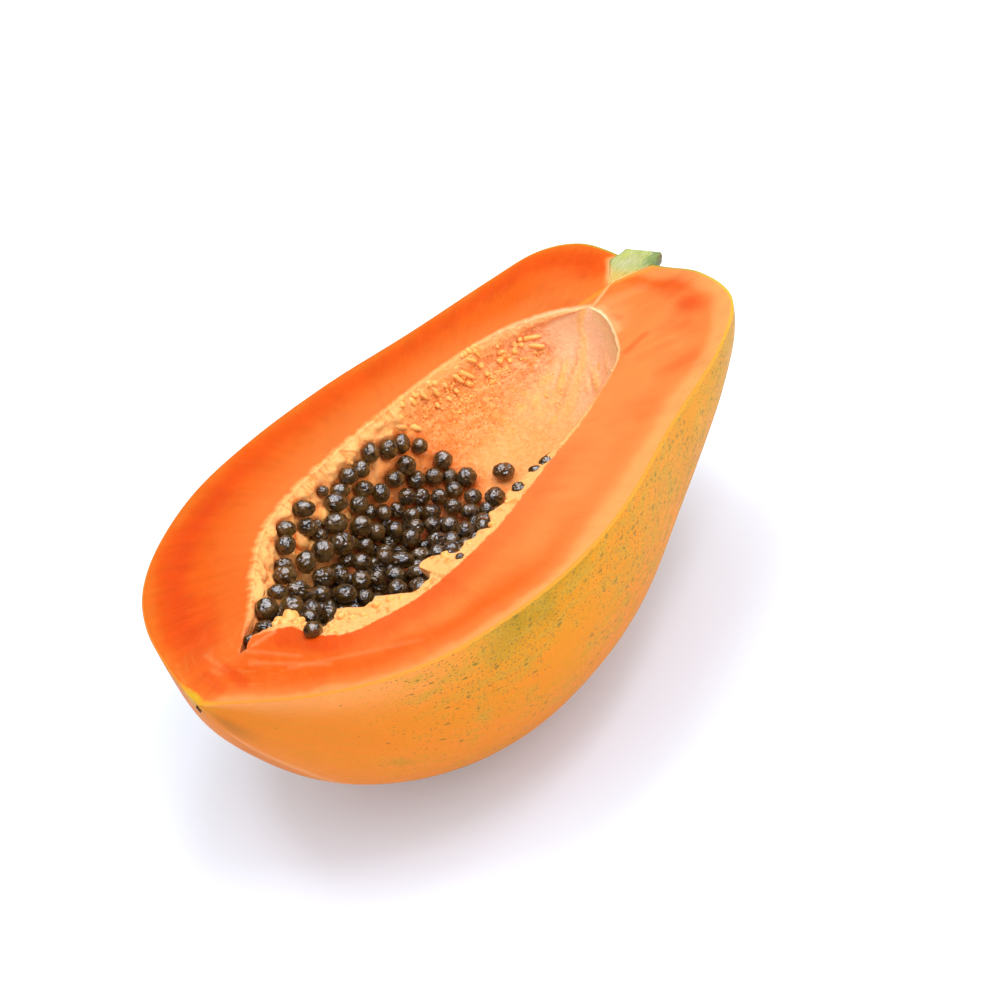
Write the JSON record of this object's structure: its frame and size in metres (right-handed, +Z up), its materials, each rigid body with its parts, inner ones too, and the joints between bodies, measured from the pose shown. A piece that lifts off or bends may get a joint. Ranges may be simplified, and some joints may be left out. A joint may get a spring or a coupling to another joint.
{
  "type": "halved papaya",
  "caption": "Half of a ripe papaya cut lengthwise, with its seed cavity partly filled by dark seeds and a short cut stem.",
  "frame": {"origin": "middle of the bounding box at the bottom, on the ground the half lies on", "axes": "+X from the blossom tip to the stem, +Z up out of the cut face"},
  "size_m": [0.208, 0.1366, 0.0739],
  "materials": {
    "fruit": "moist orange flesh inside a smooth yellow-orange skin",
    "stem": "dry green fibrous stem",
    "seed": "wet, dark brown, nearly black"
  },
  "bodies": {
    "root": {"papaya_half": "fruit", "stem": "stem", "seeds": "seed", "seed_loose_1": "seed", "seed_loose_2": "seed"}
  },
  "joints": []
}
